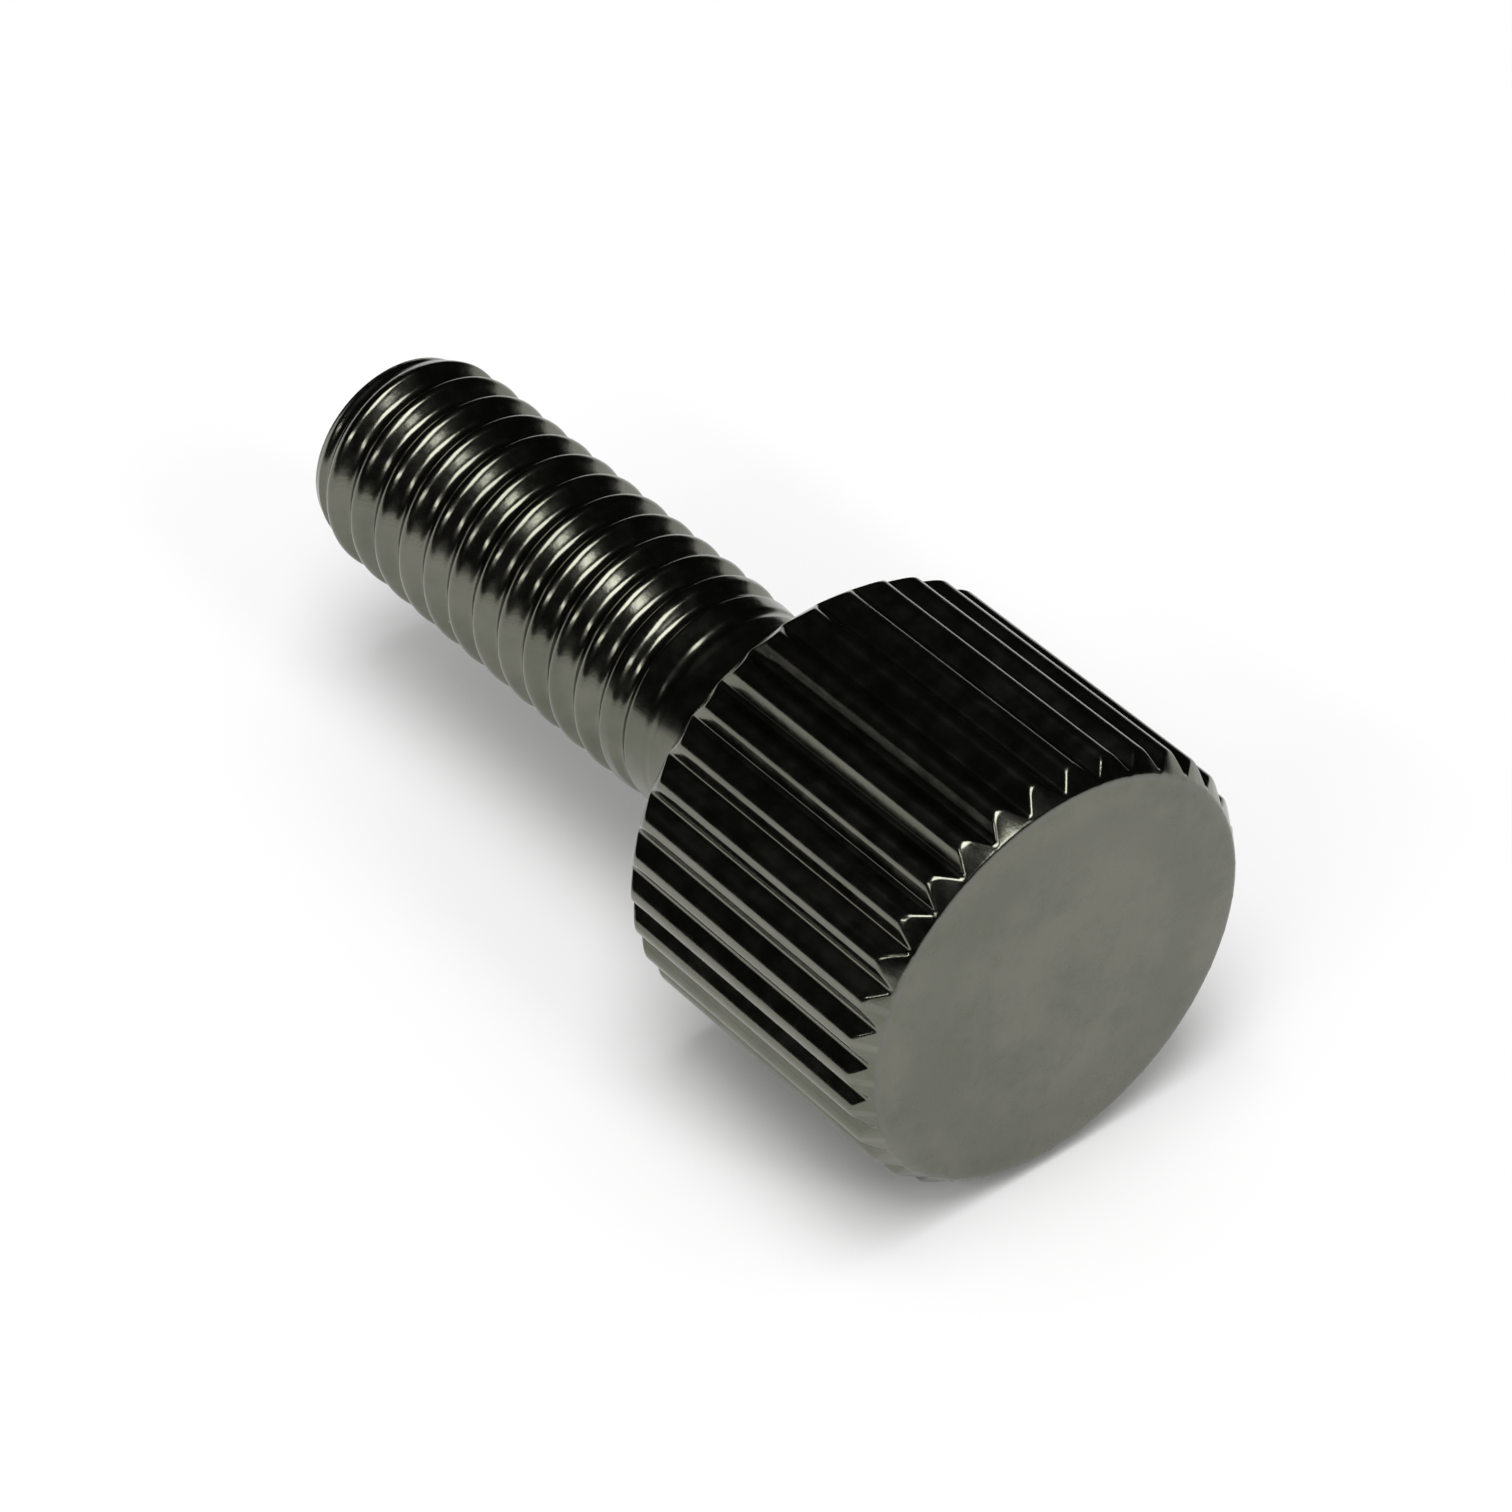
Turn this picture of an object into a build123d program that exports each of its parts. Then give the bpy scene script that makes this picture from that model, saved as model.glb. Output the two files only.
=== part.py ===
"""Knurled thumb screw: one turned, threaded and knurled piece, in millimetres.

The screw's axis is the X axis. The seat, the flat ring under the head, lies in the
plane x = 0. The head stands towards +X and the threaded shank towards -X. The screw
lies on its knurl, on the two ridges beside the groove that faces -Z.
"""

import os
from math import radians, tan

from build123d import *

# Head
head_diameter = 8.0
head_length = 6.0
face_chamfer_radial = 0.30
face_chamfer_axial = 0.44
seat_chamfer_radial = 0.23
seat_chamfer_axial = 0.27

# Straight knurl of V grooves round the head
knurl_teeth = 34
knurl_depth = 0.28
knurl_half_angle = 45.0

# Shank: its plain neck, which widens a little towards the head, and its tapered tip
shank_length = 11.5
neck_length = 1.9
neck_diameter_at_thread = 3.78
neck_diameter_at_head = 3.9
neck_fillet = 0.25
tip_diameter = 3.5
tip_taper = 0.6

# M4 coarse thread, cut as closed rings of its true section
thread_diameter = 4.0
thread_pitch = 0.7
thread_depth = 0.6134 * thread_pitch
thread_half_angle = 30.0
crest_flat = thread_pitch / 8

# Every cutting profile reaches this far past the surface that it cuts
overcut = 0.1

head_radius = head_diameter / 2
neck_radius_at_thread = neck_diameter_at_thread / 2
neck_radius_at_head = neck_diameter_at_head / 2
thread_radius = thread_diameter / 2
tip_radius = tip_diameter / 2

# A thread groove's half width at the crests, at the overcut and at its floor
flank_slope = tan(radians(thread_half_angle))
groove_half_width = (thread_pitch - crest_flat) / 2
groove_half_mouth = groove_half_width + overcut * flank_slope
groove_half_floor = groove_half_width - thread_depth * flank_slope

first_groove = -neck_length - groove_half_width
groove_count = int((shank_length - neck_length) / thread_pitch) + 1

# A knurl groove's half width at the overcut, and half the angle between two grooves
knurl_half_mouth = (knurl_depth + overcut) * tan(radians(knurl_half_angle))
knurl_start_angle = 180 / knurl_teeth

with BuildPart() as thumb_screw:
    # Turned blank: half section of head, neck and shank, revolved about the axis
    with BuildSketch(Plane.XY):
        with BuildLine():
            head_line = Polyline(
                (-shank_length, 0),
                (head_length, 0),
                (head_length, head_radius - face_chamfer_radial),
                (head_length - face_chamfer_axial, head_radius),
                (seat_chamfer_axial, head_radius),
                (0, head_radius - seat_chamfer_radial),
                (0, neck_radius_at_head + neck_fillet),
            )
            under_head = RadiusArc(head_line @ 1, (-neck_fillet, neck_radius_at_head), neck_fillet)
            Polyline(
                under_head @ 1,
                (-neck_length, neck_radius_at_thread),
                (-neck_length, thread_radius),
                (tip_taper - shank_length, thread_radius),
                (-shank_length, tip_radius),
                (-shank_length, 0),
            )
        make_face()
        # Thread grooves, one for each turn from the neck to the tip
        with Locations(*[(first_groove - turn * thread_pitch, 0) for turn in range(groove_count)]):
            Polygon(
                (-groove_half_floor, thread_radius - thread_depth),
                (groove_half_floor, thread_radius - thread_depth),
                (groove_half_mouth, thread_radius + overcut),
                (-groove_half_mouth, thread_radius + overcut),
                align=None,
                mode=Mode.SUBTRACT,
            )
    revolve(axis=Axis.X)

    # Knurl grooves along the whole head, running out through both chamfers
    with BuildSketch(Plane.YZ):
        with PolarLocations(head_radius, knurl_teeth, start_angle=knurl_start_angle):
            Polygon(
                (-knurl_depth, 0),
                (overcut, -knurl_half_mouth),
                (overcut, knurl_half_mouth),
                align=None,
            )
    extrude(amount=head_length, mode=Mode.SUBTRACT)

thumb_screw.part.label = "thumb_screw"
os.makedirs("parts", exist_ok=True)
export_step(thumb_screw.part, "parts/thumb_screw.step")
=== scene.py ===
"""Knurled thumb screw in bright dark plate, lying on a pale floor.

Every length is in metres. The screw's axis is the X axis, its seat is the plane x = 0,
and its head stands towards +X. A profile point is a pair: its x, and its radius from
the axis.
"""

import math

import bmesh
import bpy
from bpy.props import FloatProperty, FloatVectorProperty, IntProperty, PointerProperty
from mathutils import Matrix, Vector


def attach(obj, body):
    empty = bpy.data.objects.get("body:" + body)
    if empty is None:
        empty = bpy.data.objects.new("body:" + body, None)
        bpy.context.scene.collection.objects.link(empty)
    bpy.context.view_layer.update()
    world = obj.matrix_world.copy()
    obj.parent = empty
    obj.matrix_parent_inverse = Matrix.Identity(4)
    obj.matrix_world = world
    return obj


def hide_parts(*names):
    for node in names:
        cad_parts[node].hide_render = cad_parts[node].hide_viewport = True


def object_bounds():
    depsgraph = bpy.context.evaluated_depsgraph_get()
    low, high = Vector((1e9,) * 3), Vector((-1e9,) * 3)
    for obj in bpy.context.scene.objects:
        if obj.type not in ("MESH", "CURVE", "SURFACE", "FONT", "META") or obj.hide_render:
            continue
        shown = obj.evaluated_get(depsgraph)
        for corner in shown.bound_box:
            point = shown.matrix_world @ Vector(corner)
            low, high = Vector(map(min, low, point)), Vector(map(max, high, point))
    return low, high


bl_info = {
    "name": "Knurled Thumb Screw",
    "version": (1, 0, 0),
    "blender": (4, 5, 0),
    "location": "View3D > Sidebar > Thumb Screw",
    "description": "Models a knurled thumb screw and the stage that it lies on",
    "category": "Add Mesh",
}

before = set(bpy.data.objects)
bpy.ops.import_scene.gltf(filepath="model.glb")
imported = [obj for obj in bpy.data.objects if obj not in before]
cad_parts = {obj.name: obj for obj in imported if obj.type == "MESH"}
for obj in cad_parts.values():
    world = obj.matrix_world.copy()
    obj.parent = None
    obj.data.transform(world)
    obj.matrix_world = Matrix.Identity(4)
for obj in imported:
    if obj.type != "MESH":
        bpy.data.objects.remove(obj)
CAD_BOX = [list(corner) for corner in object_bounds()]
MM = 0.001
TIP_X = CAD_BOX[0][0]
FACE_X = CAD_BOX[1][0]
HEAD_RADIUS = CAD_BOX[1][1]
FLOOR_Z = CAD_BOX[0][2]
FULL_TURN = 2 * math.pi

# How finely the meshes are made: points round each curve, and steps in each turn
RIDGE_SEGMENTS = 8
GROOVE_SEGMENTS = 5
EDGE_STEPS = 4
THREAD_SEGMENTS = 8
FLANK_CUTS = 3
TURN_STEPS = 96
TIP_STEPS = 5
FILLET_STEPS = 8


class ScrewSettings(bpy.types.PropertyGroup):
    """Sizes, colours and gloss of the screw."""

    knurl_teeth: IntProperty(
        name="Knurl Teeth", description="Ridges round the head", default=34, min=8
    )
    knurl_depth: FloatProperty(
        name="Knurl Depth", description="From the ridges to the groove floors",
        default=0.22 * MM, unit="LENGTH",
    )
    ridge_round: FloatProperty(
        name="Ridge Round", description="Length of flank that a ridge's round top takes",
        default=0.25 * MM, unit="LENGTH",
    )
    groove_round: FloatProperty(
        name="Groove Round", description="Length of flank that a groove's round floor takes",
        default=0.08 * MM, unit="LENGTH",
    )
    face_chamfer_radial: FloatProperty(
        name="Face Chamfer Radial", description="How far the face's chamfer reaches inwards",
        default=0.28 * MM, unit="LENGTH",
    )
    face_chamfer_axial: FloatProperty(
        name="Face Chamfer Axial", description="How far the face's chamfer reaches along the head",
        default=0.36 * MM, unit="LENGTH",
    )
    seat_chamfer_radial: FloatProperty(
        name="Seat Chamfer Radial", description="How far the seat's chamfer reaches inwards",
        default=0.25 * MM, unit="LENGTH",
    )
    seat_chamfer_axial: FloatProperty(
        name="Seat Chamfer Axial", description="How far the seat's chamfer reaches along the head",
        default=0.27 * MM, unit="LENGTH",
    )
    edge_round: FloatProperty(
        name="Edge Round", description="How far the head's worn edges are rounded",
        default=0.065 * MM, unit="LENGTH",
    )
    neck_radius: FloatProperty(
        name="Neck Radius", description="Plain neck where the thread ends",
        default=1.89 * MM, unit="LENGTH",
    )
    collar_radius: FloatProperty(
        name="Collar Radius", description="Plain neck under the head",
        default=1.95 * MM, unit="LENGTH",
    )
    neck_length: FloatProperty(
        name="Neck Length", description="From the seat to where the thread ends",
        default=1.9 * MM, unit="LENGTH",
    )
    neck_fillet: FloatProperty(
        name="Neck Fillet", description="Radius between the neck and the seat",
        default=0.25 * MM, unit="LENGTH",
    )
    thread_radius: FloatProperty(
        name="Thread Radius", description="Over the thread's crests",
        default=2.0 * MM, unit="LENGTH",
    )
    thread_pitch: FloatProperty(
        name="Thread Pitch", description="Advance in one turn",
        default=0.7 * MM, unit="LENGTH",
    )
    crest_round: FloatProperty(
        name="Crest Round", description="Length of flank that a thread's round crest takes",
        default=0.17 * MM, unit="LENGTH",
    )
    root_round: FloatProperty(
        name="Root Round", description="Length of flank that a thread's round root takes",
        default=0.17 * MM, unit="LENGTH",
    )
    flank_angle: FloatProperty(
        name="Flank Angle", description="Between a thread's flank and the radius",
        subtype="ANGLE", default=math.radians(45),
    )
    runout_length: FloatProperty(
        name="Runout Length", description="Where the thread rises out to the neck",
        default=1.5 * MM, unit="LENGTH",
    )
    tip_radius: FloatProperty(
        name="Tip Radius", description="Flat end of the tapered tip",
        default=1.75 * MM, unit="LENGTH",
    )
    tip_taper: FloatProperty(
        name="Tip Taper", description="Length of the tapered tip",
        default=0.6 * MM, unit="LENGTH",
    )
    plate_colour: FloatVectorProperty(
        name="Plate Colour", description="Colour of the bright dark plate",
        subtype="COLOR", size=3, min=0.0, max=1.0, default=(0.165, 0.166, 0.136),
    )
    thin_plate_colour: FloatVectorProperty(
        name="Thin Plate Colour", description="Colour of the plate's thinner clouds",
        subtype="COLOR", size=3, min=0.0, max=1.0, default=(0.128, 0.132, 0.104),
    )
    # Painted reflection: a darker ring on the head's face, given as colour
    reflection_ring_colour: FloatVectorProperty(
        name="Reflection Ring Colour", description="Painted darker reflection in a ring on the head's face",
        subtype="COLOR", size=3, min=0.0, max=1.0, default=(0.136, 0.139, 0.111),
    )
    # Painted reflection: the face lighter along its rim, given as colour
    reflection_rim_colour: FloatVectorProperty(
        name="Reflection Rim Colour", description="Painted lighter reflection on the head's face along its rim",
        subtype="COLOR", size=3, min=0.0, max=1.0, default=(0.165, 0.172, 0.158),
    )
    # Real wear on the edges, and also the colour of painted glints on specks
    worn_and_glint_colour: FloatVectorProperty(
        name="Worn And Glint Colour", description="Colour where the plate is rubbed thin on edges, and of the painted glints on specks",
        subtype="COLOR", size=3, min=0.0, max=1.0, default=(0.30, 0.30, 0.27),
    )
    plate_roughness: FloatProperty(
        name="Plate Roughness", description="Blur of what the plate reflects",
        default=0.17, min=0.0, max=1.0,
    )


class StageSettings(bpy.types.PropertyGroup):
    """Camera, floor, room and lamps."""

    camera_azimuth: FloatProperty(
        name="Camera Azimuth", description="0 looks along +Y",
        subtype="ANGLE", default=math.radians(51.2),
    )
    camera_elevation: FloatProperty(
        name="Camera Elevation", description="Above the floor's plane",
        subtype="ANGLE", default=math.radians(40.7),
    )
    camera_distance: FloatProperty(
        name="Camera Distance", description="From the seat's centre",
        default=89.2 * MM, unit="LENGTH",
    )
    camera_lens: FloatProperty(
        name="Camera Lens", description="Focal length in millimetres on a 36 mm sensor",
        default=131.0,
    )
    aim_left: FloatProperty(
        name="Aim Left", description="How far left of the seat's centre the camera aims",
        default=0.958 * MM, unit="LENGTH",
    )
    aim_up: FloatProperty(
        name="Aim Up", description="How far above the seat's centre the camera aims",
        default=0.446 * MM, unit="LENGTH",
    )
    floor_colour: FloatVectorProperty(
        name="Floor Colour", description="Pale floor",
        subtype="COLOR", size=3, min=0.0, max=1.0, default=(0.86, 0.86, 0.86),
    )
    room_colour: FloatVectorProperty(
        name="Room Colour", description="Dim room above the floor",
        subtype="COLOR", size=3, min=0.0, max=1.0, default=(0.012, 0.012, 0.012),
    )
    ambient_colour: FloatVectorProperty(
        name="Ambient Colour", description="Light that reaches the floor from all round",
        subtype="COLOR", size=3, min=0.0, max=1.0, default=(0.5, 0.5, 0.5),
    )
    lamp_distance: FloatProperty(
        name="Lamp Distance", description="From the seat's centre to each lamp",
        default=0.30, unit="LENGTH",
    )
    overhead_radiance: FloatProperty(
        name="Overhead Radiance", description="How bright the overhead lamp looks",
        default=6.0, min=0.0,
    )
    strip_radiance: FloatProperty(
        name="Strip Radiance", description="How bright the strip lamp looks",
        default=9.0, min=0.0,
    )
    front_radiance: FloatProperty(
        name="Front Radiance", description="How bright the front lamp looks",
        default=6.5, min=0.0,
    )


# Helpers for modelling ----------------------------------------------------------


def axis_radius(place):
    return math.hypot(place.y, place.z)


def start_edit(piece):
    """Opens the piece for editing by vertices, with nothing selected."""
    bpy.ops.object.select_all(action="DESELECT")
    piece.select_set(True)
    bpy.context.view_layer.objects.active = piece
    bpy.ops.object.mode_set(mode="EDIT")
    bpy.ops.mesh.select_mode(type="VERT")
    bpy.ops.mesh.select_all(action="DESELECT")


def end_edit():
    bpy.ops.object.mode_set(mode="OBJECT")


def pick(piece, wanted):
    """Selects the vertices for whose place wanted(place) is true."""
    bpy.ops.mesh.select_all(action="DESELECT")
    form = bmesh.from_edit_mesh(piece.data)
    for vertex in form.verts:
        vertex.select = bool(wanted(vertex.co))
    form.select_flush_mode()
    bmesh.update_edit_mesh(piece.data)


def pick_open_edge(piece, wanted):
    """Selects the open edges both of whose ends wanted(place) accepts."""
    bpy.ops.mesh.select_all(action="DESELECT")
    form = bmesh.from_edit_mesh(piece.data)
    for edge in form.edges:
        if edge.is_boundary and all(wanted(vertex.co) for vertex in edge.verts):
            edge.select = True
    bmesh.update_edit_mesh(piece.data)


def cut_off(x, **side):
    """Cuts across the axis at x and removes what lies to one side."""
    snap = 0.0001 * MM
    bpy.ops.mesh.select_all(action="SELECT")
    bpy.ops.mesh.bisect(plane_co=(x, 0, 0), plane_no=(1, 0, 0), threshold=snap, **side)


def weld(distance):
    """Merges the vertices of the open piece that lie this close together."""
    bpy.ops.mesh.select_all(action="SELECT")
    bpy.ops.mesh.remove_doubles(threshold=distance)


def to_profile(vertex, point):
    """Moves a vertex to a profile point, at its own angle about the axis."""
    x, radius = point
    scale = radius / axis_radius(vertex.co)
    vertex.co = (x, vertex.co.y * scale, vertex.co.z * scale)


def round_corners(length, segments):
    """Rounds the selected corners of a flat outline by this length of each side."""
    bpy.ops.mesh.bevel(
        offset_type="OFFSET", offset=length, segments=segments, profile=0.5,
        affect="VERTICES", clamp_overlap=False,
    )


def close_end():
    """Closes the selected ring with a fan of faces round its centre."""
    bpy.ops.mesh.extrude_region_move()
    bpy.ops.mesh.merge(type="CENTER")


def extrude_ring(piece, place):
    """Extrudes the selected ring and moves each new vertex to place(vertex)."""
    bpy.ops.mesh.extrude_region_move()
    form = bmesh.from_edit_mesh(piece.data)
    for vertex in form.verts:
        if vertex.select:
            to_profile(vertex, place(form, vertex))
    bmesh.update_edit_mesh(piece.data)


def rounded(corners, rounding, steps):
    """Profile through the corners, with all but the first and last rounded off."""
    most_of_side = 0.45
    points = [Vector(corners[0])]
    for before, corner, after in zip(corners, corners[1:], corners[2:]):
        corner = Vector(corner)
        to_before = Vector(before) - corner
        to_after = Vector(after) - corner
        shorter = min(to_before.length, to_after.length)
        reach = min(rounding, most_of_side * shorter)
        start = corner + to_before.normalized() * reach
        end = corner + to_after.normalized() * reach
        for step in range(steps + 1):
            share = step / steps
            points.append(start.lerp(corner, share).lerp(corner.lerp(end, share), share))
    points.append(Vector(corners[-1]))
    return points


def soft_max(first, second, blend):
    """The larger of two lengths, with the change from one to the other rounded."""
    overlap = max(blend - abs(first - second), 0.0) / blend
    return max(first, second) + overlap * overlap * blend / 4


def corner_drop(length, half_angle):
    """How much rounding a corner by this length of each side takes off its height."""
    return length * (1 / math.cos(half_angle) - math.tan(half_angle))


# Head ---------------------------------------------------------------------------


def knurl_outline(size):
    """The head's section, a ring of rounded ridges and grooves in the seat's plane."""
    # The sharp ridges and grooves are close to square corners
    half_square = math.radians(45)
    crest = HEAD_RADIUS + corner_drop(size.ridge_round, half_square)
    groove = HEAD_RADIUS - size.knurl_depth - corner_drop(size.groove_round, half_square)
    bpy.ops.object.select_all(action="DESELECT")
    bpy.ops.mesh.primitive_circle_add(
        vertices=2 * size.knurl_teeth, radius=crest, fill_type="NGON",
        rotation=(0, math.pi / 2, 0),
    )
    bpy.ops.object.transform_apply(location=True, rotation=True, scale=True)
    head = bpy.context.object
    start_edit(head)

    # The groove at -Z lies between the two ridges that the screw rests on
    def in_groove(place):
        step = (math.atan2(place.z, place.y) + math.pi / 2) * size.knurl_teeth / math.pi
        return round(step) % 2 == 0

    pick(head, in_groove)
    drop = groove / crest
    bpy.ops.transform.resize(value=(1, drop, drop), center_override=(0, 0, 0))
    middle = (crest + groove) / 2
    just_over_groove = 1.0001 * groove
    pick(head, lambda place: axis_radius(place) > middle)
    round_corners(size.ridge_round, RIDGE_SEGMENTS)
    pick(head, lambda place: axis_radius(place) < just_over_groove)
    round_corners(size.groove_round, GROOVE_SEGMENTS)
    bpy.ops.mesh.select_all(action="SELECT")
    bpy.ops.mesh.delete(type="ONLY_FACE")

    # Fitted to the head's radius, with each point's distance from the axis kept with it
    form = bmesh.from_edit_mesh(head.data)
    fit = HEAD_RADIUS / max(axis_radius(vertex.co) for vertex in form.verts)
    ridge = form.verts.layers.float.new("ridge")
    for vertex in form.verts:
        vertex.co *= fit
        vertex[ridge] = axis_radius(vertex.co)
    bmesh.update_edit_mesh(head.data)
    return head


def head_profile(size, ridge):
    """Profile of the head along one line of the knurl, at its distance from the axis."""
    flat_share = 0.85
    seat_edge = HEAD_RADIUS - size.seat_chamfer_radial
    face_edge = HEAD_RADIUS - size.face_chamfer_radial
    seat_slope = size.seat_chamfer_axial / size.seat_chamfer_radial
    face_slope = size.face_chamfer_axial / size.face_chamfer_radial
    flat = flat_share * HEAD_RADIUS
    corners = [
        (0, flat),
        (0, min(ridge, seat_edge)),
        (max(ridge - seat_edge, 0) * seat_slope, ridge),
        (FACE_X - (ridge - face_edge) * face_slope, ridge),
        (FACE_X, face_edge),
        (FACE_X, flat),
    ]
    return rounded(corners, size.edge_round, EDGE_STEPS)


def make_head(size):
    """The knurled and chamfered head, open at the seat inside its flat ring."""
    face_rings = (0.66, 0.42, 0.18)
    head = knurl_outline(size)
    profiles = {}

    def along(row):
        def place(form, vertex):
            ridge = vertex[form.verts.layers.float["ridge"]]
            key = round(ridge / MM, 5)
            if key not in profiles:
                profiles[key] = head_profile(size, ridge)
            return profiles[key][row]
        return place

    form = bmesh.from_edit_mesh(head.data)
    for vertex in form.verts:
        vertex.select = True
        to_profile(vertex, along(0)(form, vertex))
    form.select_flush_mode()
    bmesh.update_edit_mesh(head.data)
    rows = len(head_profile(size, HEAD_RADIUS))
    for row in range(1, rows):
        extrude_ring(head, along(row))
    for share in face_rings:
        radius = share * HEAD_RADIUS
        extrude_ring(head, lambda form, vertex: (FACE_X, radius))
    close_end()
    end_edit()
    return head


# Shank --------------------------------------------------------------------------


def thread_depth(size):
    sharp_height = size.thread_pitch / 2 / math.tan(size.flank_angle)
    crest_drop = corner_drop(size.crest_round, size.flank_angle)
    return sharp_height - crest_drop - corner_drop(size.root_round, size.flank_angle)


def thread_section(size, start_x):
    """One pitch of the thread's section, from the middle of a crest to the next one."""
    pitch = size.thread_pitch
    height = pitch / 2 / math.tan(size.flank_angle)
    apex = size.thread_radius + corner_drop(size.crest_round, size.flank_angle)
    bpy.ops.object.select_all(action="DESELECT")
    bpy.ops.mesh.primitive_plane_add(size=pitch, location=(start_x, 0, apex - height))
    bpy.ops.object.transform_apply(location=True, rotation=True, scale=True)
    shank = bpy.context.object
    start_edit(shank)
    bpy.ops.mesh.select_all(action="SELECT")
    bpy.ops.mesh.merge(type="CENTER")
    # Two sharp threads, closed above so that their corners can be rounded
    half = pitch / 2
    for along, up in (
        (half, height), (half, -height), (half, height), (half, -height),
        (0, 2 * height), (-2 * pitch, 0),
    ):
        bpy.ops.mesh.extrude_vertices_move(TRANSFORM_OT_translate={"value": (along, 0, up)})
    bpy.ops.mesh.select_all(action="SELECT")
    bpy.ops.mesh.edge_face_add()
    near = 0.01 * pitch
    for level, rounding in ((apex, size.crest_round), (apex - height, size.root_round)):
        pick(shank, lambda place: (
            abs(place.z - level) < near and near < place.x - start_x < 2 * pitch - near
        ))
        round_corners(rounding, THREAD_SEGMENTS)
    # From the middle of the first crest to the middle of the second
    pick(shank, lambda place: (
        place.z > apex + near
        or place.x < start_x + half - near
        or place.x > start_x + pitch + half + near
    ))
    bpy.ops.mesh.delete(type="VERT")
    # The flanks need points for the runout to bend
    form = bmesh.from_edit_mesh(shank.data)
    longest = max(edge.calc_length() for edge in form.edges)
    nearly_longest = 0.9 * longest
    for edge in form.edges:
        edge.select = edge.calc_length() > nearly_longest
    bmesh.update_edit_mesh(shank.data)
    bpy.ops.mesh.subdivide(number_cuts=FLANK_CUTS)
    end_edit()
    return shank


def shape_thread(size, shank):
    """Tapers the thread at the tip and lets its grooves rise out to the neck."""
    runout_end = -size.neck_length
    runout_start = runout_end - size.runout_length
    # The grooves rise past the blank's surface, and their edges fade into it softly
    full_rise = 1.15 * thread_depth(size)
    soft = 0.05 * MM
    taper_slope = (size.thread_radius - size.tip_radius) / size.tip_taper
    form = bmesh.from_edit_mesh(shank.data)
    for vertex in form.verts:
        x = vertex.co.x
        share = min(max((x - runout_start) / size.runout_length, 0.0), 1.0)
        blank = size.thread_radius + share * (size.neck_radius - size.thread_radius)
        lift = full_rise * share
        cut = size.thread_radius - axis_radius(vertex.co)
        if lift > 0:
            cut = soft_max(cut - lift, 0.0, min(soft, lift)) if share < 1 else 0.0
        radius = blank - cut
        cone = size.tip_radius + (x - TIP_X) * taper_slope
        if x < TIP_X + 2 * size.tip_taper:
            radius = -soft_max(-radius, -cone, soft)
        to_profile(vertex, (x, radius))
    bmesh.update_edit_mesh(shank.data)


def tip_end(tip_edge):
    """Rows round the tip's edge: each an x, and a share of the radius of the row before."""
    draw_in = 0.012
    length = tip_edge - TIP_X
    for step in range(1, TIP_STEPS + 1):
        angle = math.pi / 2 * step / TIP_STEPS
        yield tip_edge - length * math.sin(angle), 1 - draw_in * (1 - math.cos(angle)) * step


def make_shank(size):
    """The threaded shank with its tip and neck, open where it meets the seat."""
    # The thread runs on past both ends, where it is cut off
    lead_in = 1.7
    spare_turns = 3
    pitch = size.thread_pitch
    turns = math.ceil((-size.neck_length - TIP_X) / pitch) + spare_turns
    shank = thread_section(size, TIP_X - lead_in * pitch)
    screw = shank.modifiers.new("thread", "SCREW")
    screw.axis = "X"
    screw.angle = FULL_TURN
    screw.screw_offset = pitch
    screw.iterations = turns
    screw.steps = TURN_STEPS
    screw.render_steps = TURN_STEPS
    bpy.ops.object.modifier_apply(modifier=screw.name)
    start_edit(shank)
    turn_gap = 0.001 * MM
    weld(turn_gap)
    tip_edge = TIP_X + 0.06 * MM
    cut_off(tip_edge, clear_inner=True)
    cut_off(-size.neck_length, clear_outer=True)
    sliver = 0.003 * MM
    weld(sliver)
    shape_thread(size, shank)

    # Rounded end of the tip, then its flat, closed at the centre
    near = 0.004 * MM
    pick_open_edge(shank, lambda place: place.x < tip_edge + near)
    for x, share in tip_end(tip_edge):
        extrude_ring(shank, lambda form, vertex: (x, axis_radius(vertex.co) * share))
    for share in (0.6, 0.2):
        radius = share * size.tip_radius
        extrude_ring(shank, lambda form, vertex: (TIP_X, radius))
    close_end()

    # Neck and its fillet out to the seat
    pick_open_edge(shank, lambda place: place.x > -size.neck_length - near)
    fillet = size.neck_fillet
    for share in (0.25, 0.5, 0.75):
        x = -size.neck_length + share * (size.neck_length - fillet)
        radius = size.neck_radius + share * (size.collar_radius - size.neck_radius)
        extrude_ring(shank, lambda form, vertex: (x, radius))
    for step in range(FILLET_STEPS + 1):
        angle = math.pi / 2 * step / FILLET_STEPS
        x = -fillet + fillet * math.sin(angle)
        radius = size.collar_radius + fillet * (1 - math.cos(angle))
        extrude_ring(shank, lambda form, vertex: (x, radius))
    end_edit()
    return shank


def join_screw(head, shank):
    """One closed piece, with the seat's ring between the head and the shank."""
    bpy.ops.object.select_all(action="DESELECT")
    shank.select_set(True)
    head.select_set(True)
    bpy.context.view_layer.objects.active = head
    bpy.ops.object.join()
    head.name = "plated_screw"
    head.data.name = "plated_screw"
    start_edit(head)
    bpy.ops.mesh.select_non_manifold(
        extend=False, use_wire=False, use_boundary=True, use_multi_face=False,
        use_non_contiguous=False, use_verts=False,
    )
    bpy.ops.mesh.bridge_edge_loops()
    leftover_gap = 0.0005 * MM
    weld(leftover_gap)
    bpy.ops.mesh.select_all(action="SELECT")
    bpy.ops.mesh.normals_make_consistent(inside=False)
    end_edit()
    smooth_angle = math.radians(50)
    bpy.ops.object.shade_smooth_by_angle(angle=smooth_angle)
    weighted = head.modifiers.new("flat faces", "WEIGHTED_NORMAL")
    weighted.keep_sharp = True
    bpy.ops.object.modifier_apply(modifier=weighted.name)
    return head


# Finish -------------------------------------------------------------------------


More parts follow.
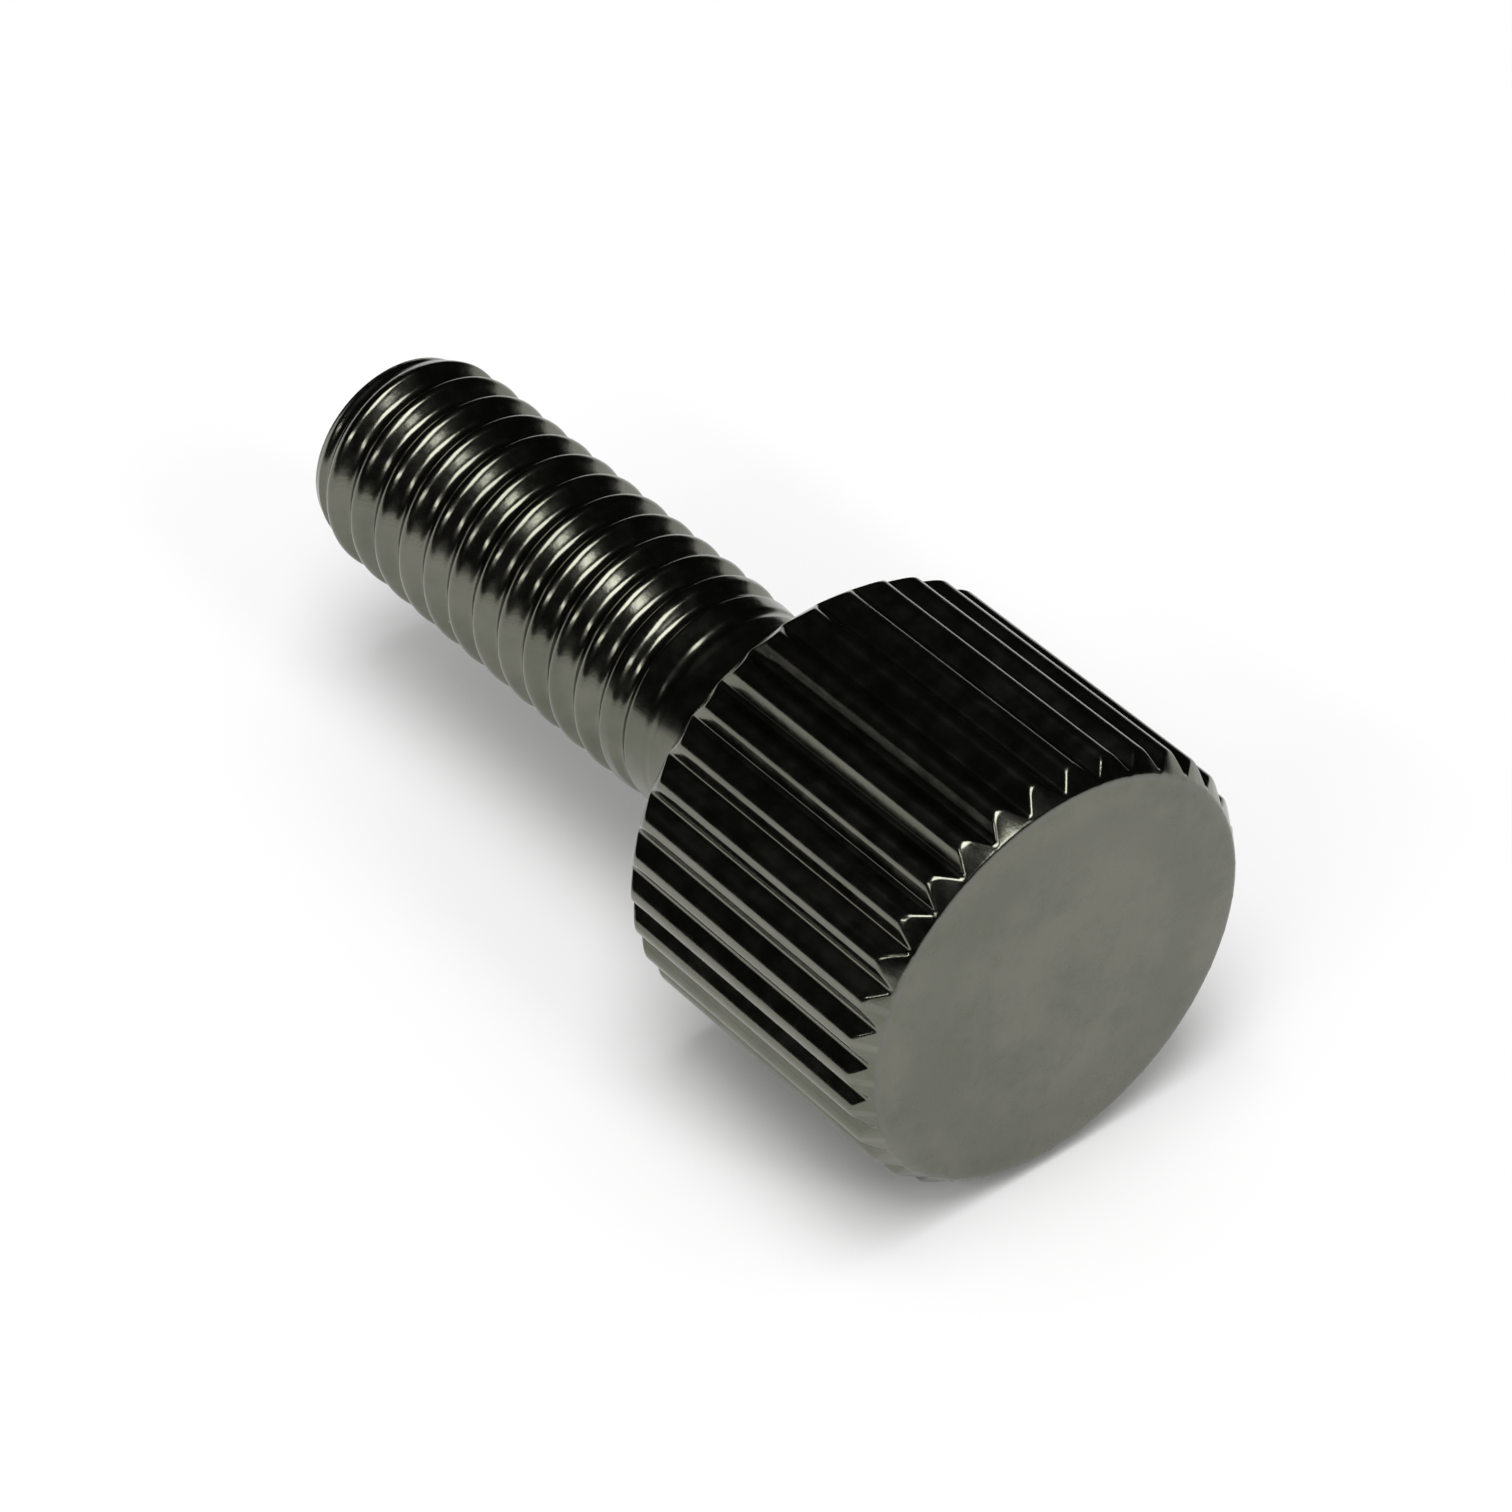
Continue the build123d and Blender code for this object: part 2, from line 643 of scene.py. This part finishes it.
def new_group(name, inputs, outputs):
    """An empty shader node group; each socket is a name, a kind and a default."""
    group = bpy.data.node_groups.new(name, "ShaderNodeTree")
    for in_out, sockets in (("INPUT", inputs), ("OUTPUT", outputs)):
        for label, kind, default in sockets:
            socket = group.interface.new_socket(
                name=label, in_out=in_out, socket_type="NodeSocket" + kind
            )
            if default is not None:
                socket.default_value = default
    return group


def link_all(group, pairs):
    for source, target in pairs:
        group.links.new(source, target)


def add_math(group, operation, first, second):
    """A Math node; each operand is a socket or a number."""
    node = group.nodes.new("ShaderNodeMath")
    node.operation = operation
    for socket, value in zip(node.inputs, (first, second)):
        if isinstance(value, bpy.types.NodeSocket):
            group.links.new(value, socket)
        else:
            socket.default_value = value
    return node.outputs[0]


def add_noise(group, vector, scale, detail, roughness=0.5):
    node = group.nodes.new("ShaderNodeTexNoise")
    group.links.new(vector, node.inputs["Vector"])
    node.inputs["Scale"].default_value = scale
    node.inputs["Detail"].default_value = detail
    node.inputs["Roughness"].default_value = roughness
    return node.outputs["Fac"]


def add_range(group, value, low, high, to_low=0.0, to_high=1.0):
    """Spreads a value smoothly from low..high over to_low..to_high."""
    node = group.nodes.new("ShaderNodeMapRange")
    node.interpolation_type = "SMOOTHSTEP"
    group.links.new(value, node.inputs["Value"])
    node.inputs["From Min"].default_value = low
    node.inputs["From Max"].default_value = high
    node.inputs["To Min"].default_value = to_low
    node.inputs["To Max"].default_value = to_high
    return node.outputs["Result"]


def scale_vector(group, vector, factors):
    node = group.nodes.new("ShaderNodeVectorMath")
    node.operation = "MULTIPLY"
    group.links.new(vector, node.inputs[0])
    node.inputs[1].default_value = factors
    return node.outputs["Vector"]


def cloudy_plate_group():
    """Soft clouds of thicker and thinner plate, and a fine haze of uneven gloss."""
    group = new_group(
        "cloudy_plate",
        [("Vector", "Vector", None)],
        [("Cloud", "Float", None), ("Haze", "Float", None), ("Height", "Float", None)],
    )
    vector = group.nodes.new("NodeGroupInput").outputs["Vector"]
    out = group.nodes.new("NodeGroupOutput")
    broad = add_noise(group, vector, scale=0.55, detail=3.0)
    fine = add_noise(group, vector, scale=2.6, detail=4.0, roughness=0.6)
    grain = add_noise(group, vector, scale=16.0, detail=2.0)
    broad_share = 0.6
    fine_share = 0.4
    grain_share = 0.25
    broad_cloud = add_math(group, "MULTIPLY", broad, broad_share)
    fine_cloud = add_math(group, "MULTIPLY", fine, fine_share)
    low_grain = add_math(group, "MULTIPLY", grain, grain_share)
    link_all(group, [
        (add_math(group, "ADD", broad_cloud, fine_cloud), out.inputs["Cloud"]),
        (add_range(group, fine, low=0.3, high=0.7), out.inputs["Haze"]),
        (add_math(group, "ADD", low_grain, fine), out.inputs["Height"]),
    ])
    return group


def turned_face_and_reflection_group():
    """Rings left by turning on the head's face, and where on it a darker reflection ring and a
    lighter reflection along its rim are painted.
    """
    group = new_group(
        "turned_face_and_reflections",
        [("Vector", "Vector", None), ("Face", "Float", 6.0), ("Radius", "Float", 4.0)],
        [("On Face", "Float", None), ("Ring", "Float", None), ("Rim", "Float", None),
         ("Height", "Float", None)],
    )
    given = group.nodes.new("NodeGroupInput")
    out = group.nodes.new("NodeGroupOutput")
    parts = group.nodes.new("ShaderNodeSeparateXYZ")
    group.links.new(given.outputs["Vector"], parts.inputs[0])
    across = group.nodes.new("ShaderNodeVectorMath")
    across.operation = "LENGTH"
    flat = scale_vector(group, given.outputs["Vector"], (0.0, 1.0, 1.0))
    group.links.new(flat, across.inputs[0])
    share = add_math(group, "DIVIDE", across.outputs["Value"], given.outputs["Radius"])
    behind = add_math(group, "SUBTRACT", given.outputs["Face"], parts.outputs["X"])
    on_face = add_range(group, behind, low=0.01, high=0.03, to_low=1.0, to_high=0.0)

    wobble_share = 0.16
    wobble = add_noise(group, given.outputs["Vector"], scale=0.9, detail=2.0)
    uneven = add_math(group, "ADD", share, add_math(group, "MULTIPLY", wobble, wobble_share))
    ring_in = add_range(group, uneven, low=0.60, high=0.74)
    ring_out = add_range(group, uneven, low=0.80, high=0.90, to_low=1.0, to_high=0.0)
    ring = add_math(group, "MULTIPLY", ring_in, ring_out)
    rim = add_range(group, share, low=0.89, high=0.925)

    # The sine's angle at the rim, for about 41 turned rings
    sine_at_rim = 260.0
    turned = group.nodes.new("ShaderNodeMath")
    turned.operation = "SINE"
    group.links.new(add_math(group, "MULTIPLY", share, sine_at_rim), turned.inputs[0])
    link_all(group, [
        (on_face, out.inputs["On Face"]),
        (add_math(group, "MULTIPLY", ring, on_face), out.inputs["Ring"]),
        (add_math(group, "MULTIPLY", rim, on_face), out.inputs["Rim"]),
        (add_math(group, "MULTIPLY", turned.outputs[0], on_face), out.inputs["Height"]),
    ])
    return group


def drawn_streaks_group():
    """Fine streaks along the axis, left by the knurl's rollers."""
    group = new_group(
        "drawn_streaks",
        [("Vector", "Vector", None)],
        [("Streak", "Float", None)],
    )
    given = group.nodes.new("NodeGroupInput")
    out = group.nodes.new("NodeGroupOutput")
    stretched = scale_vector(group, given.outputs["Vector"], (0.12, 5.0, 5.0))
    streak = add_noise(group, stretched, scale=2.0, detail=3.0)
    group.links.new(streak, out.inputs["Streak"])
    return group


def speck_group():
    """Sparse bright specks where burrs and dust catch the light."""
    group = new_group(
        "bright_specks",
        [("Vector", "Vector", None), ("Scale", "Float", 1.6), ("Size", "Float", 0.06)],
        [("Mask", "Float", None)],
    )
    given = group.nodes.new("NodeGroupInput")
    out = group.nodes.new("NodeGroupOutput")
    cells = group.nodes.new("ShaderNodeTexVoronoi")
    group.links.new(given.outputs["Vector"], cells.inputs["Vector"])
    group.links.new(given.outputs["Scale"], cells.inputs["Scale"])
    near = add_math(group, "LESS_THAN", cells.outputs["Distance"], given.outputs["Size"])
    bare_cells = 0.72
    chance = group.nodes.new("ShaderNodeSeparateColor")
    group.links.new(cells.outputs["Color"], chance.inputs[0])
    rare = add_math(group, "GREATER_THAN", chance.outputs["Red"], bare_cells)
    group.links.new(add_math(group, "MULTIPLY", near, rare), out.inputs["Mask"])
    return group


def mix_colour(tree, factor, first, second):
    """A Mix node between two colours; each is a socket or a colour."""
    node = tree.nodes.new("ShaderNodeMix")
    node.data_type = "RGBA"
    tree.links.new(factor, node.inputs["Factor"])
    for label, value in (("A", first), ("B", second)):
        socket = next(s for s in node.inputs if s.name == label and s.type == "RGBA")
        if isinstance(value, bpy.types.NodeSocket):
            tree.links.new(value, socket)
        else:
            socket.default_value = (*value, 1)
    return next(s for s in node.outputs if s.type == "RGBA")


# How strongly each mark shows in the plate's colour
CREST_WEAR = 0.35
# Painted reflection: a darker ring on the head's face
REFLECTION_RING_MARK = 0.55
# Painted reflection: a lighter band along the face's rim
REFLECTION_RIM_MARK = 0.5
# Painted glints: specks brightened where burrs and dust catch the light
SPECK_MARK = 0.6

# How much each adds to the plate's roughness, and what comes off to make room for them
HAZE_ROUGHNESS = 0.07
FACE_ROUGHNESS = 0.10
STREAK_ROUGHNESS = 0.04
ROUGHNESS_ROOM = 0.03

# How high each stands, and how far inside the ridges' tops the wear begins
CLOUD_HEIGHT = 0.0025 * MM
RING_HEIGHT = 0.00006 * MM
STREAK_HEIGHT = 0.0012 * MM
CREST_REACH = 0.02 * MM


def plate_material(size):
    """Bright dark nickel plate: cloudy, finely hazed, streaked and worn on its edges, with painted
    reflections on its face and painted glints on specks.
    """
    material = bpy.data.materials.new("bright_dark_plate")
    material.use_nodes = True
    tree = material.node_tree
    nodes = tree.nodes
    shader = nodes["Principled BSDF"]
    shader.inputs["Metallic"].default_value = 1.0

    place = nodes.new("ShaderNodeTexCoord")
    in_mm = scale_vector(tree, place.outputs["Object"], (1 / MM, 1 / MM, 1 / MM))

    def add_group(group, **values):
        node = nodes.new("ShaderNodeGroup")
        node.node_tree = group
        tree.links.new(in_mm, node.inputs["Vector"])
        for label, value in values.items():
            node.inputs[label].default_value = value
        return node.outputs

    cloudy = add_group(cloudy_plate_group())
    face = add_group(turned_face_and_reflection_group(), Face=FACE_X / MM, Radius=HEAD_RADIUS / MM)
    streaks = add_group(drawn_streaks_group())
    specks = add_group(speck_group())
    ridge = nodes.new("ShaderNodeAttribute")
    ridge.attribute_name = "ridge"
    crest = add_range(
        tree, ridge.outputs["Fac"], low=HEAD_RADIUS - CREST_REACH, high=HEAD_RADIUS,
        to_high=CREST_WEAR,
    )
    off_face = add_math(tree, "SUBTRACT", 1.0, face["On Face"])
    streak = add_math(tree, "MULTIPLY", streaks["Streak"], off_face)

    cloud_share = add_range(tree, cloudy["Cloud"], low=0.35, high=0.65)
    cloudy_colour = mix_colour(tree, cloud_share, size.thin_plate_colour, size.plate_colour)
    # Painted reflection: the face darker in a ring
    reflection_ring_share = add_math(tree, "MULTIPLY", face["Ring"], REFLECTION_RING_MARK)
    with_reflection_ring = mix_colour(tree, reflection_ring_share, cloudy_colour, size.reflection_ring_colour)
    # Painted reflection: the face lighter along its rim
    reflection_rim_share = add_math(tree, "MULTIPLY", face["Rim"], REFLECTION_RIM_MARK)
    with_reflection_rim = mix_colour(tree, reflection_rim_share, with_reflection_ring, size.reflection_rim_colour)
    worn_share = add_math(tree, "MULTIPLY", crest, streak)
    worn = mix_colour(tree, worn_share, with_reflection_rim, size.worn_and_glint_colour)
    # Painted glints: specks brightened in the colour where burrs and dust catch the light
    speck_share = add_math(tree, "MULTIPLY", specks["Mask"], SPECK_MARK)
    specked = mix_colour(tree, speck_share, worn, size.worn_and_glint_colour)
    tree.links.new(specked, shader.inputs["Base Color"])

    haze = add_math(tree, "MULTIPLY", cloudy["Haze"], HAZE_ROUGHNESS)
    rough = add_math(tree, "ADD", haze, size.plate_roughness - ROUGHNESS_ROOM)
    face_rough = add_math(tree, "MULTIPLY", face["On Face"], FACE_ROUGHNESS)
    streak_rough = add_math(tree, "MULTIPLY", streaks["Streak"], STREAK_ROUGHNESS)
    rough = add_math(tree, "ADD", rough, add_math(tree, "ADD", face_rough, streak_rough))
    tree.links.new(rough, shader.inputs["Roughness"])

    height = add_math(tree, "MULTIPLY", cloudy["Height"], CLOUD_HEIGHT)
    rings = add_math(tree, "MULTIPLY", face["Height"], RING_HEIGHT)
    drawn = add_math(tree, "MULTIPLY", streak, STREAK_HEIGHT)
    height = add_math(tree, "ADD", height, add_math(tree, "ADD", rings, drawn))
    bump = nodes.new("ShaderNodeBump")
    bump.inputs["Distance"].default_value = 1.0
    tree.links.new(height, bump.inputs["Height"])
    tree.links.new(bump.outputs["Normal"], shader.inputs["Normal"])
    return material


# Stage --------------------------------------------------------------------------


def seen_share(tree):
    """1 for rays from the camera, from gloss and through glass, and 0 for the rest."""
    path = tree.nodes.new("ShaderNodeLightPath")
    direct = add_math(
        tree, "MAXIMUM", path.outputs["Is Camera Ray"], path.outputs["Is Glossy Ray"]
    )
    return add_math(tree, "MAXIMUM", direct, path.outputs["Is Transmission Ray"])


def floor_material(stage):
    """Pale matt floor that turns plain white away from the screw and its shadow."""
    shadow_reach = 16 * MM
    white_from = 45 * MM
    material = bpy.data.materials.new("pale_floor")
    material.use_nodes = True
    tree = material.node_tree
    nodes = tree.nodes
    links = tree.links
    shader = nodes["Principled BSDF"]
    shader.inputs["Base Color"].default_value = (*stage.floor_colour, 1)
    shader.inputs["Roughness"].default_value = 0.9
    shader.inputs["Specular IOR Level"].default_value = 0.2
    place = nodes.new("ShaderNodeTexCoord")
    distance = nodes.new("ShaderNodeVectorMath")
    distance.operation = "LENGTH"
    links.new(place.outputs["Object"], distance.inputs[0])
    far = add_range(tree, distance.outputs["Value"], low=shadow_reach, high=white_from)
    white = nodes.new("ShaderNodeEmission")
    mix = nodes.new("ShaderNodeMixShader")
    links.new(add_math(tree, "MULTIPLY", seen_share(tree), far), mix.inputs[0])
    links.new(shader.outputs[0], mix.inputs[1])
    links.new(white.outputs[0], mix.inputs[2])
    links.new(mix.outputs[0], nodes["Material Output"].inputs["Surface"])
    return material


def room_world(stage, world):
    """Plain light all round, which gloss shows as a dim room above the floor."""
    tree = world.node_tree
    path = tree.nodes.new("ShaderNodeLightPath")
    glossy = path.outputs["Is Glossy Ray"]
    colour = mix_colour(tree, glossy, stage.ambient_colour, stage.room_colour)
    tree.links.new(colour, tree.nodes["Background"].inputs["Color"])


def add_lamp(name, towards, distance, width, length, radiance):
    """A soft rectangular lamp that faces the screw; towards is its direction from it."""
    data = bpy.data.lights.new(name, "AREA")
    data.shape = "RECTANGLE"
    data.size = width
    data.size_y = length
    data.energy = radiance * math.pi * width * length
    lamp = bpy.data.objects.new(name, data)
    direction = Vector(towards).normalized()
    lamp.location = direction * distance
    lamp.rotation_euler = direction.to_track_quat("Z", "Y").to_euler()
    bpy.context.collection.objects.link(lamp)
    return lamp


class MESH_OT_thumb_screw(bpy.types.Operator):
    """Model the thumb screw in place of its plain solid"""

    bl_idname = "mesh.thumb_screw_add"
    bl_label = "Thumb Screw"

    def execute(self, context):
        size = context.scene.thumb_screw
        screw = join_screw(make_head(size), make_shank(size))
        screw.data.materials.clear()
        screw.data.materials.append(plate_material(size))
        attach(screw, "root")
        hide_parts("thumb_screw")
        return {"FINISHED"}


class SCENE_OT_thumb_screw_stage(bpy.types.Operator):
    """Set up the floor, the lamps and the camera"""

    bl_idname = "scene.thumb_screw_stage"
    bl_label = "Stage"

    def execute(self, context):
        stage = context.scene.thumb_screw_stage
        bpy.ops.object.select_all(action="DESELECT")
        bpy.ops.mesh.primitive_plane_add(size=2.0, location=(0, 0, FLOOR_Z))
        floor = context.object
        floor.name = "floor"
        floor.data.materials.append(floor_material(stage))

        world = bpy.data.worlds.new("dim_room")
        world.use_nodes = True
        room_world(stage, world)
        context.scene.world = world

        add_lamp(
            "overhead_lamp", towards=(0.16, -0.16, 0.97), distance=stage.lamp_distance,
            width=0.15, length=0.22, radiance=stage.overhead_radiance,
        )
        add_lamp(
            "strip_lamp", towards=(0.16, -0.78, 0.60), distance=stage.lamp_distance,
            width=0.20, length=0.022, radiance=stage.strip_radiance,
        )
        add_lamp(
            "front_lamp", towards=(0.79, 0.06, 0.61), distance=stage.lamp_distance,
            width=0.055, length=0.09, radiance=stage.front_radiance,
        )

        azimuth = stage.camera_azimuth
        elevation = stage.camera_elevation
        back = Vector((
            math.sin(azimuth) * math.cos(elevation),
            -math.cos(azimuth) * math.cos(elevation),
            math.sin(elevation),
        ))
        turn = back.to_track_quat("Z", "Y")
        aim = turn @ Vector((-stage.aim_left, stage.aim_up, 0))
        camera_data = bpy.data.cameras.new("camera")
        camera_data.lens = stage.camera_lens
        camera_data.clip_start = 5 * MM
        camera_data.clip_end = 10.0
        camera = bpy.data.objects.new("camera", camera_data)
        camera.location = aim + back * stage.camera_distance
        camera.rotation_euler = turn.to_euler()
        context.collection.objects.link(camera)
        context.scene.camera = camera
        context.scene.view_settings.view_transform = "Standard"
        return {"FINISHED"}


class VIEW3D_PT_thumb_screw(bpy.types.Panel):
    """Sidebar panel with the screw's settings"""

    bl_label = "Thumb Screw"
    bl_space_type = "VIEW_3D"
    bl_region_type = "UI"
    bl_category = "Thumb Screw"

    def draw(self, context):
        layout = self.layout
        for settings, operator in (
            (context.scene.thumb_screw, MESH_OT_thumb_screw),
            (context.scene.thumb_screw_stage, SCENE_OT_thumb_screw_stage),
        ):
            box = layout.box()
            box.operator(operator.bl_idname)
            for name in settings.bl_rna.properties.keys():
                if name not in {"rna_type", "name"}:
                    box.prop(settings, name)


CLASSES = (
    ScrewSettings,
    StageSettings,
    MESH_OT_thumb_screw,
    SCENE_OT_thumb_screw_stage,
    VIEW3D_PT_thumb_screw,
)


def register():
    for cls in CLASSES:
        bpy.utils.register_class(cls)
    bpy.types.Scene.thumb_screw = PointerProperty(type=ScrewSettings)
    bpy.types.Scene.thumb_screw_stage = PointerProperty(type=StageSettings)


def unregister():
    del bpy.types.Scene.thumb_screw_stage
    del bpy.types.Scene.thumb_screw
    for cls in reversed(CLASSES):
        bpy.utils.unregister_class(cls)


def main():
    register()
    bpy.ops.mesh.thumb_screw_add()
    bpy.ops.scene.thumb_screw_stage()


if __name__ == "__main__":
    main()
